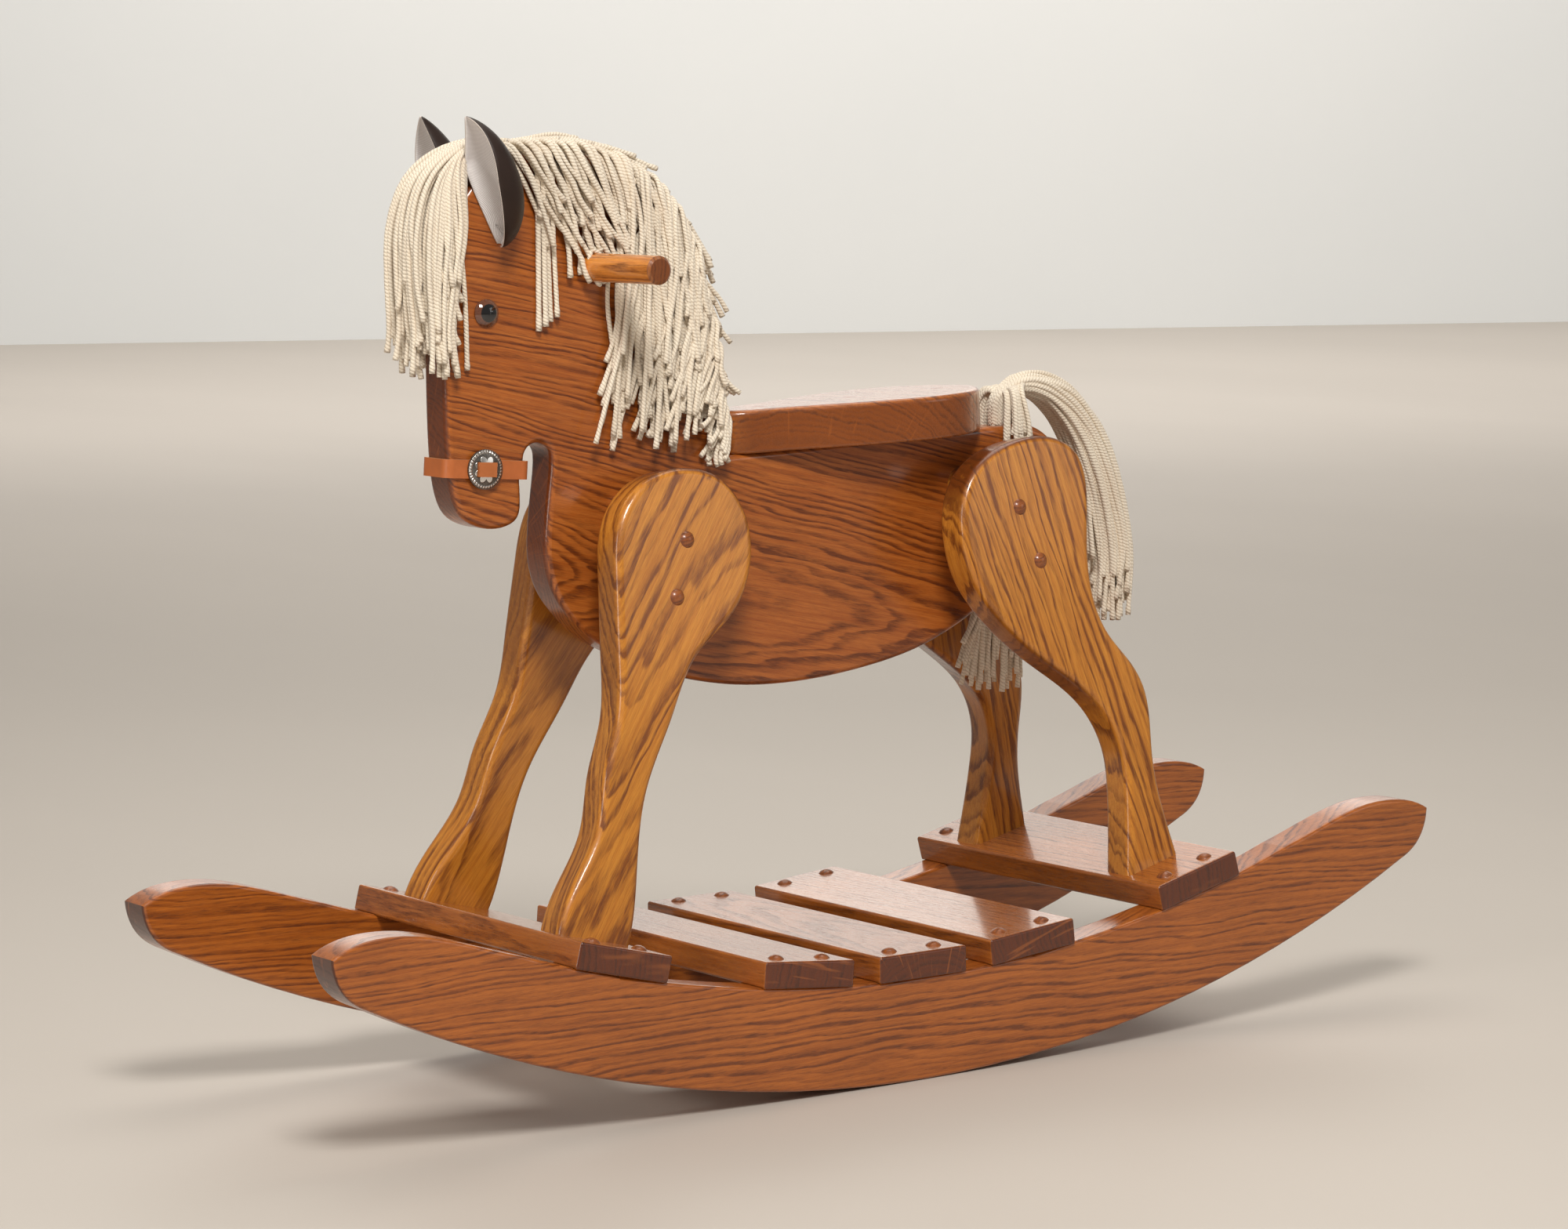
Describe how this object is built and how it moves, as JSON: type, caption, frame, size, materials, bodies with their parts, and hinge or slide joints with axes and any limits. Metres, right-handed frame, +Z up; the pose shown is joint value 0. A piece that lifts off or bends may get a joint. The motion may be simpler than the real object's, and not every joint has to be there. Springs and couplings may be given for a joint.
{
  "type": "rocking horse",
  "caption": "Child's wooden rocking horse cut from oak boards, with splayed legs on curved rockers, slatted footrest, small seat, dowel handle and yarn mane and tail.",
  "frame": {"origin": "on the floor, midway between the rockers and midway along them, under the lowest point of their arc", "axes": "+X towards the tail, the nose points to -X; +Y towards the horse's right side; +Z up"},
  "size_m": [0.956, 0.2922, 0.681],
  "materials": {
    "oak_plank": "satin varnish over stained oak",
    "oak_leg": "satin varnish over stained oak",
    "oak_rocker": "satin varnish over stained oak",
    "oak_board": "satin varnish over stained oak",
    "oak_seat": "satin varnish over stained oak",
    "oak_dark": "satin varnish over stained oak",
    "eye_plastic": "polished black with a brown rim",
    "ear_vinyl": "dark brown vinyl with a twill lining",
    "tan_leather": "smooth vegetable-tanned leather",
    "silver": "embossed nickel-silver",
    "steel": "plain steel wire and screws",
    "yarn": "twisted cream cotton yarn"
  },
  "bodies": {
    "root": {"board_screw_buttons": "oak_dark", "board_screws": "steel", "concho_laces": "tan_leather", "ear_staples": "steel", "foot_screws": "steel", "forelock": "yarn", "front_crossboard": "oak_board", "front_left_leg": "oak_leg", "front_left_wedge": "oak_leg", "front_right_leg": "oak_leg", "front_right_wedge": "oak_leg", "front_slat": "oak_board", "handle": "oak_dark", "left_concho": "silver", "left_ear": "ear_vinyl", "left_eye": "eye_plastic", "left_rocker": "oak_rocker", "leg_screw_buttons": "oak_dark", "leg_screws": "steel", "mane": "yarn", "mane_staples": "steel", "middle_slat": "oak_board", "noseband": "tan_leather", "plank": "oak_plank", "rear_crossboard": "oak_board", "rear_left_leg": "oak_leg", "rear_left_wedge": "oak_leg", "rear_right_leg": "oak_leg", "rear_right_wedge": "oak_leg", "rear_slat": "oak_board", "right_concho": "silver", "right_ear": "ear_vinyl", "right_eye": "eye_plastic", "right_rocker": "oak_rocker", "seat": "oak_seat", "seat_plugs": "oak_dark", "seat_screws": "steel", "tail": "yarn"}
  },
  "joints": []
}
